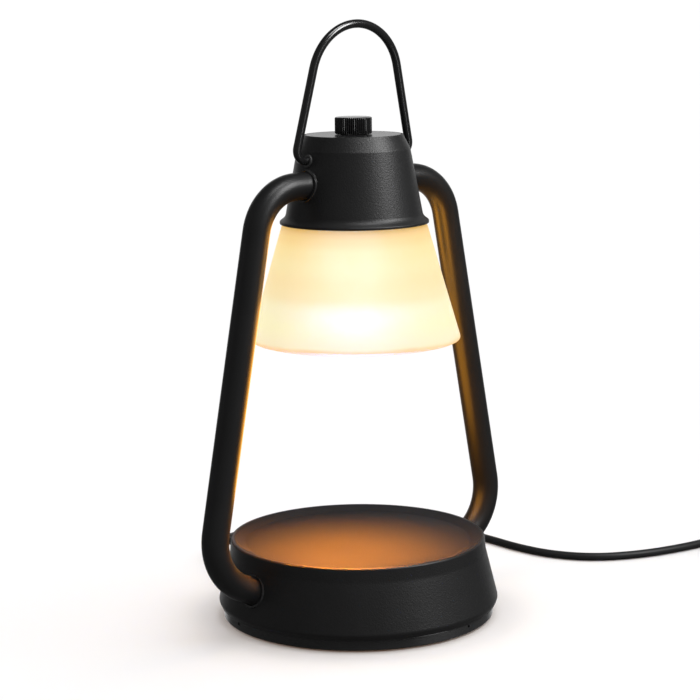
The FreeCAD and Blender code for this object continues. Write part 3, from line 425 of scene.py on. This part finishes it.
steelDark = (0.42, 0.42, 0.43)
steelLight = (0.66, 0.66, 0.67)
finishes = {
    "powder_coat": coat("powderCoat"),
    "arm_coat": coat("armCoat"),
    "base_ring": coat("baseRing"),
    "handle_black": coat("handleBlack"),
    "knob_black": coat("knobBlack"),
    "sleeve_black": plain("sleeveBlack", (0.015, 0.015, 0.015), (0.03, 0.03, 0.03), roughness=0.45),
    "foot_rubber": plain(
        "footRubber", (0.018, 0.018, 0.018), (0.035, 0.035, 0.035), roughness=0.78, grain=900.0, depth=0.08),
    "zinc_screw": plain("zincScrew", steelDark, steelLight, roughness=0.34, metallic=1.0, grain=1500.0),
    "black_screw": plain(
        "blackScrew", (0.02, 0.02, 0.02), (0.05, 0.05, 0.05), roughness=0.42, metallic=1.0),
    "ballast_steel": plain(
        "ballastSteel", (0.16, 0.15, 0.14), (0.30, 0.28, 0.26), roughness=0.5, metallic=1.0,
        grain=250.0, depth=0.1),
    "zinc_plate": brushed("zincPlate", steelDark, steelLight, roughness=0.36),
    "black_nylon": plain("blackNylon", (0.016, 0.016, 0.016), (0.028, 0.028, 0.028), roughness=0.5),
    "white_nylon": plain("whiteNylon", (0.66, 0.65, 0.60), (0.78, 0.77, 0.72), roughness=0.5),
    "brass_screw": plain(
        "brassScrew", (0.55, 0.40, 0.17), (0.78, 0.60, 0.30), roughness=0.3, metallic=1.0),
    "nipple_steel": threaded("nippleSteel", threadSet),
    "wire_sleeve": woven("wireSleeve", sleeveSet),
    "dimmer_plastic": plain("dimmerPlastic", (0.04, 0.05, 0.06), (0.08, 0.09, 0.10), roughness=0.45),
    "ceramic_white": plain(
        "ceramicWhite", (0.76, 0.73, 0.67), (0.88, 0.86, 0.81), roughness=0.55, grain=1800.0),
    "gasket_silicone": plain("gasketSilicone", (0.42, 0.10, 0.04), (0.60, 0.18, 0.08), roughness=0.6),
    "frosted_glass": frostedGlass("frostedGlass", shadeSet),
    "reflector_glass": glowing("reflectorGlass", (1.0, 0.94, 0.84), strength=1.9),
    "lens_glass": glowing("lensGlass", (1.0, 0.80, 0.52), strength=7.0),
    "burner_glass": glowing("burnerGlass", (1.0, 0.86, 0.60), strength=8.0),
    "cord_black": plain(
        "cordBlack", (0.006, 0.006, 0.0062), (0.011, 0.011, 0.0113), roughness=0.46,
        grain=420.0, depth=0.05, Specular_IOR_Level=0.16),
    "plug_black": plain(
        "plugBlack", (0.013, 0.013, 0.0135), (0.021, 0.021, 0.0215), roughness=0.46,
        grain=1400.0, depth=0.06),
    "blade_brass": brushed(
        "bladeBrass", (0.62, 0.52, 0.33), (0.85, 0.76, 0.56), roughness=0.28, stretch=(900.0, 60.0, 900.0)),
}
collarCoat = coat("collarCoat")
finer = {                 # coated pieces whose finish differs a little from the cap's
    "base_shell": coat("shellCoat"),
    "cap_top_plate": coat("plateCoat"),
    "upper_collars": collarCoat,
    "lower_collars": collarCoat,
}
for part in frame["record"]["subparts"]:
    node = nodes[part["node"]]
    node.data.materials.clear()
    node.data.materials.append(finer.get(part["node"], finishes[part["material_slot"]]))
print("finishes made:", len(finishes))


sharpAngle = math.radians(32)   # edges above this stay sharp


# a closed mesh through rings of points in millimetres; a ring of one point closes an end
def ringMesh(name, rings, slot, body):
    points = []
    faces = []
    starts = []
    for ring in rings:
        starts.append(len(points))
        points += [tuple(Vector(point) * mm) for point in ring]
    for i in range(len(rings) - 1):
        low = starts[i]
        high = starts[i + 1]
        count = max(len(rings[i]), len(rings[i + 1]))
        for j in range(count):
            k = (j + 1) % count
            if len(rings[i]) == 1:
                faces.append((low, high + k, high + j))
            elif len(rings[i + 1]) == 1:
                faces.append((low + j, low + k, high))
            else:
                faces.append((low + j, low + k, high + k, high + j))
    mesh = bpy.data.meshes.new(name)
    mesh.from_pydata(points, [], faces)
    edit = bmesh.new()
    edit.from_mesh(mesh)
    bmesh.ops.recalc_face_normals(edit, faces=edit.faces)
    edit.to_mesh(mesh)
    edit.free()
    mesh.shade_smooth()
    mesh.set_sharp_from_angle(angle=sharpAngle)
    mesh.materials.append(finishes[slot])
    piece = bpy.data.objects.new(name, mesh)
    scene.collection.objects.link(piece)
    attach(piece, body)
    return piece


# dimmer knob, with rounded ridges that run out in its top bevel
knobSet = {
    "ridges": 54,
    "depth": 0.55,
    "stepsPerRidge": 8,
    "groove": 1.3,        # above 1 the ridges are wider than the grooves
    # radius, height above the knob's foot, share of the ridges' depth
    "rows": [
        (3.03, 6.75, 0), (3.03, 3.10, 0), (7.25, 3.10, 0), (7.25, -0.08, 0), (8.70, -0.10, 0),
        (9.05, -0.04, 0.4), (9.30, 0.25, 1), (9.35, 0.60, 1), (9.35, 3.90, 1), (9.35, 7.20, 1),
        (9.33, 7.65, 1), (9.20, 7.98, 0.6), (8.95, 8.20, 0.15), (8.65, 8.28, 0), (8.30, 8.26, 0),
        (8.10, 8.14, 0), (7.90, 8.14, 0), (7.70, 8.28, 0), (7.30, 8.32, 0), (4.00, 8.42, 0),
    ],
    "top": 8.45,
}


# 0 at the top of a ridge, 1 in the middle of a groove
def ripple(i, steps):
    return 0.5 - 0.5 * math.cos(2 * math.pi * i / steps)


def makeKnob(settings):
    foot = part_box("knob")[0].z / mm
    count = settings["ridges"] * settings["stepsPerRidge"]
    rings = [[(0, 0, foot + settings["rows"][0][1])]]
    for radius, height, share in settings["rows"]:
        ring = []
        for i in range(count):
            wave = ripple(i, settings["stepsPerRidge"]) ** settings["groove"]
            reach = radius - share * settings["depth"] * wave
            angle = 2 * math.pi * i / count
            ring.append((reach * math.cos(angle), reach * math.sin(angle), foot + height))
        rings.append(ring)
    rings.append([(0, 0, foot + settings["top"])])
    knob = ringMesh("knurledKnob", rings, "knob_black", "dimmer_knob")
    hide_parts("knob")
    return knob


knob = makeKnob(knobSet)
print("knob made")


# mains cord: out of the boot, across the table and into a coil beside the lamp
cordSet = {
    "radius": 2.2,
    "length": 1.5,        # metres, from the boot to the plug
    "route": [
        (0.0, 114.5, 16.0), (4.5, 131.0, 10.5), (18.0, 147.5, 4.6), (39.0, 159.5, 2.4),
        (66.0, 163.5, 2.2), (94.0, 155.5, 2.2), (118.0, 137.0, 2.2), (135.0, 111.0, 2.2),
        (143.0, 82.0, 2.2), (144.5, 54.0, 2.2), (143.5, 29.0, 2.2), (147.0, 5.0, 2.2),
        (160.0, -16.0, 2.2), (183.0, -28.5, 2.2), (210.0, -35.0, 2.2), (237.0, -36.9, 2.2),
    ],
    "tail": [(253.4, -103.9, 6.3), (245.6, -107.2, 6.4), (237.3, -109.1, 6.1), (228.5, -110.0, 6.0)],
    "coilCentre": (250.0, -69.5),
    "coilMiddle": 26.1,   # radius at the middle of the turns
    "columns": 4,         # turns beside each other on the table
    "turns": 6.43,
    "stepsPerTurn": 24,
    "jog": 0.25,          # share of a turn in which it moves over to the next place
    "hump": 0.13,         # how far it rises there, in diameters
    "sides": 6,           # the mesh's fineness round the cord
    "steps": 8,           # and along it, from point to point
}


def eased(t):
    t = min(max(t, 0.0), 1.0)
    return t * t * (3 - 2 * t)


# round and round inwards on the table, then back outwards on top of those turns
def coilPoints(settings):
    width = 2 * settings["radius"]
    steps = settings["stepsPerTurn"]
    columns = settings["columns"]
    outer = (columns - 1) / 2
    spread = 1 / math.cos(math.pi / steps)      # the curve runs inside its points
    layer = math.sqrt(3) / 2                    # the upper turns lie between the lower ones
    centreX, centreY = settings["coilCentre"]
    points = []
    for i in range(int(settings["turns"] * steps) + 1):
        turn = i / steps
        whole = int(turn)
        move = eased((turn - whole - 1 + settings["jog"]) / settings["jog"])
        hump = 0.0
        if whole < columns - 1:
            column = outer - whole - move
            rise = 0.0
        elif whole == columns - 1:
            column = outer - whole + move / 2
            rise = move
        else:
            column = -outer + 0.5 + (whole - columns) + move
            rise = 1.0
            hump = min(1.0, 2 * math.sin(math.pi * move))
        radius = (settings["coilMiddle"] + column * width) * spread
        height = width * (0.5 + rise * layer + settings["hump"] * hump)
        angle = math.radians(90 - 360 * turn)
        points.append((centreX + radius * math.cos(angle), centreY + radius * math.sin(angle), height))
    return points


def makeCord(settings):
    route = settings["route"]
    bootTip = Vector((0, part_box("strain_relief")[1].y / mm, route[0][2]))
    data = bpy.data.curves.new("mainsCord", "CURVE")
    data.dimensions = "3D"
    data.bevel_depth = settings["radius"] * mm
    data.bevel_resolution = settings["sides"]
    data.resolution_u = settings["steps"]
    data.use_fill_caps = True
    points = [bootTip] + route + coilPoints(settings) + settings["tail"]
    spline = data.splines.new("NURBS")
    spline.points.add(len(points) - 1)
    for point, place in zip(spline.points, points):
        point.co = (*(Vector(place) * mm), 1.0)
    spline.order_u = 3
    spline.use_endpoint_u = True
    cord = bpy.data.objects.new("mainsCord", data)
    scene.collection.objects.link(cord)
    data.materials.append(finishes["cord_black"])
    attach(cord, "lamp")
    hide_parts("power_cord", "cord_coil", "cord_tail")


# the cord's boot, with flexing grooves between its root and its tip
bootSet = {
    "bore": 2.22,             # a hair wider than the cord
    "flange": (6.4, 1.8),     # radius, thickness
    "root": 5.2,
    "tip": 3.6,
    "tipBevel": (0.4, 0.5),   # across, along
    "straight": 3.0,          # before the taper
    "plainEnds": (2.0, 3.0),  # no grooves this far after the straight, and before the end
    "length": 28.0,
    "grooves": 6,
    "grooveDepth": 0.85,
    "stepsPerGroove": 8,
    "steps": 48,
}


def makeBoot(settings):
    low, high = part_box("strain_relief")
    start = low.y / mm
    end = high.y / mm
    middle = (low.z + high.z) / 2 / mm
    bore, root, tip = settings["bore"], settings["root"], settings["tip"]
    flangeRadius, flangeThickness = settings["flange"]
    flangeEnd = start + flangeThickness
    taperStart = end - settings["length"] + settings["straight"]
    rows = [(bore, start), (flangeRadius, start), (flangeRadius, flangeEnd)]
    rows += [(root, flangeEnd), (root, taperStart)]
    ribStart = taperStart + settings["plainEnds"][0]
    ribLength = end - settings["plainEnds"][1] - ribStart
    count = settings["grooves"] * settings["stepsPerGroove"]
    for i in range(count + 1):
        along = ribStart + ribLength * i / count
        taper = (along - taperStart) / (end - taperStart)
        groove = settings["grooveDepth"] * ripple(i, settings["stepsPerGroove"]) ** 2
        rows.append((root + (tip - root) * taper - groove, along))
    bevelAcross, bevelAlong = settings["tipBevel"]
    rows += [(tip, end - bevelAlong), (tip - bevelAcross, end), (bore, end)]
    rows.append(rows[0])
    turns = [2 * math.pi * i / settings["steps"] for i in range(settings["steps"])]
    rings = []
    for radius, along in rows:
        rings.append([(radius * math.cos(t), along, middle + radius * math.sin(t)) for t in turns])
    boot = ringMesh("ribbedBoot", rings, "cord_black", "lamp")
    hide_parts("strain_relief")
    return boot


# moulded plug with a ribbed tail and finger grips, lying on the table at the cord's end
plugSet = {
    # along the plug, half width, half height, squareness, with 2 for an ellipse
    "rows": [
        (0.0, 3.0, 3.0, 2), (0.3, 3.25, 3.25, 2), (2.6, 3.4, 3.4, 2), (3.1, 2.75, 2.75, 2),
        (4.3, 2.75, 2.75, 2), (4.8, 3.55, 3.55, 2), (7.0, 3.7, 3.7, 2), (7.5, 2.95, 2.95, 2),
        (8.7, 2.95, 2.95, 2), (9.2, 3.85, 3.85, 2), (11.4, 4.0, 4.0, 2), (11.9, 3.15, 3.15, 2),
        (13.1, 3.15, 3.15, 2), (13.6, 4.2, 4.2, 2),
        (17.2, 4.6, 4.5, 2.1), (18.9, 5.6, 4.9, 2.4), (20.6, 8.4, 5.4, 3.0), (22.2, 10.9, 5.75, 3.8),
        (24.4, 12.2, 5.95, 4.8), (26.4, 12.45, 6.0, 5.2), (27.2, 12.0, 5.72, 5.2), (28.0, 12.45, 6.0, 5.2),
        (29.4, 12.45, 6.0, 5.2), (30.2, 12.0, 5.72, 5.2), (31.0, 12.45, 6.0, 5.2), (32.4, 12.45, 6.0, 5.2),
        (33.2, 12.0, 5.72, 5.2), (34.0, 12.45, 6.0, 5.2), (35.4, 12.45, 6.0, 5.2), (36.2, 12.0, 5.72, 5.2),
        (37.0, 12.5, 6.0, 5.4), (45.2, 12.5, 6.0, 5.6), (46.2, 12.35, 5.85, 5.6), (46.8, 11.9, 5.4, 5.6),
        (47.0, 11.3, 4.8, 5.6),
    ],
    "steps": 72,
}


def makePlug(settings, tail):
    start = Vector(tail[-1])
    ahead = start - Vector(tail[-2])
    ahead.z = 0
    ahead.normalize()
    side = Vector((-ahead.y, ahead.x, 0))
    up = Vector((0, 0, 1))
    rings = [[start]]
    for along, width, height, square in settings["rows"]:
        middle = start + ahead * along
        ring = []
        for i in range(settings["steps"]):
            angle = 2 * math.pi * i / settings["steps"]
            across = math.cos(angle)
            rise = math.sin(angle)
            reach = (abs(across) ** square + abs(rise) ** square) ** (-1 / square)
            ring.append(middle + side * (width * reach * across) + up * (height * reach * rise))
        rings.append(ring)
    rings.append([middle])
    plug = ringMesh("mouldedPlug", rings, "plug_black", "lamp")
    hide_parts("plug_body")
    return plug


boot = makeBoot(bootSet)
plug = makePlug(plugSet, cordSet["tail"])
print("boot and plug made")
makeCord(cordSet)
print("cord laid")


studio = {
    "floor": (0.89, 0.89, 0.89),
    "floorLight": (0.90, 0.90, 0.90),
    "floorRoughness": 0.9,
    "floorSpread": 0.05,
    "floorPatches": 6.0,
    "floorReach": 40.0,
    "backdrop": (1.0, 1.0, 1.0),
    "white": 1.12,                # the paper as it is seen
    "sky": 0.80,                  # soft light from all round
    "bounce": 0.85,               # the paper behind the lamp, as the coats mirror it
    "room": 0.12,                 # the dark room on the other side, likewise
    "behind": (0.643, 0.766, 0.0),    # from the camera to the lamp, and on to the paper
    "paperEdge": (0.74, 0.96),    # where the room ends and the paper starts, as cosines off that line
    "roofEdge": (0.35, 0.9),      # how steeply up both start to darken, and stop
    "roof": 0.3,                  # what is left of them straight up
    "bounces": 8,                 # of light, in all
    "glassBounces": 6,            # and through the glass
}


def makeFloor(settings):
    reach = settings["floorReach"]
    corners = [(-reach, -reach, 0), (reach, -reach, 0), (reach, reach, 0), (-reach, reach, 0)]
    mesh = bpy.data.meshes.new("floor")
    mesh.from_pydata(corners, [], [(0, 1, 2, 3)])
    floor = bpy.data.objects.new("floor", mesh)
    scene.collection.objects.link(floor)
    shader = newShader("floorPaper")
    tone = shader.noise(settings["floorPatches"], detail=2.0)
    mesh.materials.append(shader.surface({
        "Base Color": shader.mixed(tone, settings["floor"], settings["floorLight"]),
        "Roughness": settings["floorRoughness"] + tone.swing(settings["floorSpread"]),
        "Specular IOR Level": 0.0,
    }))
    floor.visible_glossy = False      # the glossy pieces mirror the dark room instead
    return floor


def smoothStep(shader, value, edges, low, high):
    sockets = {"Value": value, "From Min": edges[0], "From Max": edges[1], "To Min": low, "To Max": high}
    return shader.add("MapRange", {"interpolation_type": "SMOOTHSTEP"}, sockets)


# white paper behind the lamp, a dark room on the other side
def makeWorld(settings):
    world = bpy.data.worlds.new("studio")
    scene.world = world
    shader = Shader(world, "Generated")
    towards = {0: shader.place, 1: settings["behind"]}
    along = shader.add("VectorMath", {"operation": "DOT_PRODUCT"}, towards, output="Value")
    level = shader.add("SeparateXYZ", sockets={"Vector": shader.place}, output="Z")
    paper = smoothStep(shader, along, settings["paperEdge"], settings["room"], settings["bounce"])
    roof = smoothStep(shader, level, settings["roofEdge"], 1.0, settings["roof"])
    seen = shader.add("LightPath", output="Is Camera Ray")
    soft = shader.add("LightPath", output="Is Diffuse Ray")
    strength = paper * roof * (1 - seen - soft) + seen * settings["white"] + soft * settings["sky"]
    backdrop = shader.add("Background", sockets={"Color": (*settings["backdrop"], 1.0), "Strength": strength})
    shader.add("OutputWorld", sockets={"Surface": backdrop})


floor = makeFloor(studio)
makeWorld(studio)
print("table and paper set")


def rectangle(width, height):
    return {"shape": "RECTANGLE", "size": width, "size_y": height}


lampPieces = [item for item in scene.objects if item.type in ("MESH", "CURVE") and item != floor]
coatedPieces = [item for item in lampPieces if item != nodes["glass_shade"]]
collars = [nodes["upper_collars"], nodes["lower_collars"]]
armsAndCollars = [nodes["arm_right"], nodes["arm_left"], *collars]
glass = [nodes["glass_shade"]]
aim = (0, 0, 0.14)                        # the lamp's middle
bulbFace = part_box("bulb_lens")[1].z       # the lights in the bulb are placed from here
unseen = {"visible_camera": False}

# "pieces" are what a light falls on; where it is "alone", nothing else shades them from it
lightSet = {
    "warmTable": {        # the lamp's warm light on the table round its foot
        "kind": "POINT", "place": (0, 0, 0.12), "energy": 0.10, "colour": (1.0, 0.5, 0.22),
        "data": {"shadow_soft_size": 0.06}, "object": unseen, "pieces": [floor], "alone": True,
    },
    "keyRight": {
        "kind": "AREA", "place": (0.55, -1.12, 1.00), "target": aim, "energy": 30.0,
        "data": rectangle(0.5, 0.7), "pieces": coatedPieces,
    },
    "topRight": {
        "kind": "AREA", "place": (0.10, -0.62, 1.55), "target": aim, "energy": 13.0,
        "data": rectangle(0.7, 0.35), "pieces": coatedPieces,
    },
    "bailStrip": {        # thin lines along the bail
        "kind": "AREA", "place": (0.06, -1.30, 0.10), "target": (0, 0, 0.19), "energy": 2.2,
        "data": rectangle(0.09, 1.2), "pieces": [nodes["bail_handle"]], "alone": True,
    },
    "collarRims": {
        "kind": "AREA", "place": (0.10, -1.25, 0.30), "target": (0, 0, 0.12), "energy": 22.0,
        "data": rectangle(0.35, 0.9), "pieces": collars, "alone": True,
    },
    "ringSheen": {
        "kind": "AREA", "place": (0.62, -1.05, 0.02), "target": (0, 0, 0.01), "energy": 9.0,
        "data": rectangle(0.9, 0.5), "pieces": [nodes["bottom_cover"]], "alone": True,
    },
    "knobGlint": {
        "kind": "AREA", "place": (0.16, -1.25, 0.12), "target": (0, 0, 0.25), "energy": 7.0,
        "data": rectangle(0.26, 1.0), "pieces": [knob], "alone": True,
    },
    "fillLeft": {
        "kind": "AREA", "place": (-1.2, 0.9, 0.6), "target": aim, "energy": 0.3,
        "data": rectangle(0.4, 0.9), "pieces": coatedPieces,
    },
    "overhead": {         # a wide soft sky, with no mirror image
        "kind": "SUN", "place": (0.45, -0.25, 1.0), "target": (0, 0, 0), "energy": 1.2,
        "data": {"angle": math.radians(60)}, "object": {"visible_glossy": False},
    },
}
for name, rise in (("bulbFaceLow", 0.0015), ("bulbFaceMiddle", 0.0045), ("bulbFaceHigh", 0.0075)):
    lightSet[name] = {                    # the bulb's face and neck whiten the glass from inside
        "kind": "AREA", "place": (0, 0, bulbFace + rise), "target": (0, 0, 0), "energy": 0.62,
        "colour": (0.20, 0.22, 1.0), "data": {"shape": "DISK", "size": 0.046}, "object": unseen,
        "pieces": glass, "alone": True,
    }
lightSet["bulbNeck"] = {
    "kind": "POINT", "place": (0, 0, bulbFace + 0.0205), "energy": 0.46, "colour": (0.15, 0.44, 1.0),
    "data": {"shadow_soft_size": 0.010}, "object": unseen, "pieces": glass, "alone": True,
}
lightSet["bulbCone"] = {                  # the bulb's beam, down on the dish
    "kind": "SPOT", "place": (-0.015, -0.010, bulbFace - 0.0045), "energy": 17.0,
    "colour": (1.0, 0.29, 0.01),
    "data": {"spot_size": math.radians(68), "spot_blend": 0.9, "shadow_soft_size": 0.02},
    "pieces": lampPieces,
}
# the warm light that the shade and the dish throw on the arms: place, target, size and energy
glowRows = {
    "glowUpperRight": ((0.015, 0, 0.184), (0.2, 0, 0.200), (0.10, 0.07), 0.40),
    "glowUpperLeft": ((-0.015, 0.015, 0.176), (-0.2, 0, 0.186), (0.10, 0.07), 0.22),
    "glowLowerRight": ((0.015, 0, 0.096), (0.2, 0, 0.080), (0.09, 0.09), 0.30),
    "glowLowerLeft": ((-0.015, 0.015, 0.096), (-0.2, 0, 0.080), (0.09, 0.09), 0.24),
}
for name, (place, target, size, energy) in glowRows.items():
    lightSet[name] = {
        "kind": "AREA", "place": place, "target": target, "energy": energy, "colour": (1.0, 0.40, 0.03),
        "data": rectangle(*size), "object": unseen, "pieces": armsAndCollars, "alone": True,
    }


def makeLight(name, settings):
    data = bpy.data.lights.new(name, settings["kind"])
    data.energy = settings["energy"]
    data.color = settings.get("colour", (1.0, 1.0, 1.0))
    for key, value in settings["data"].items():
        setattr(data, key, value)
    light = bpy.data.objects.new(name, data)
    scene.collection.objects.link(light)
    light.location = settings["place"]
    for key, value in settings.get("object", {}).items():
        setattr(light, key, value)
    if "target" in settings:
        ray = Vector(settings["target"]) - Vector(settings["place"])
        light.rotation_mode = "QUATERNION"
        light.rotation_quaternion = ray.to_track_quat("-Z", "Y")
    if "pieces" in settings:
        reach = bpy.data.collections.new(name + "Reach")
        for piece in settings["pieces"]:
            reach.objects.link(piece)
        light.light_linking.receiver_collection = reach
        if settings.get("alone"):
            light.light_linking.blocker_collection = reach


for name, settings in lightSet.items():
    makeLight(name, settings)
scene.view_settings.view_transform = "Standard"
scene.cycles.use_denoising = True
scene.cycles.max_bounces = studio["bounces"]
scene.cycles.transmission_bounces = studio["glassBounces"]
scene.cycles.caustics_reflective = False
print("lights set:", len(lightSet))
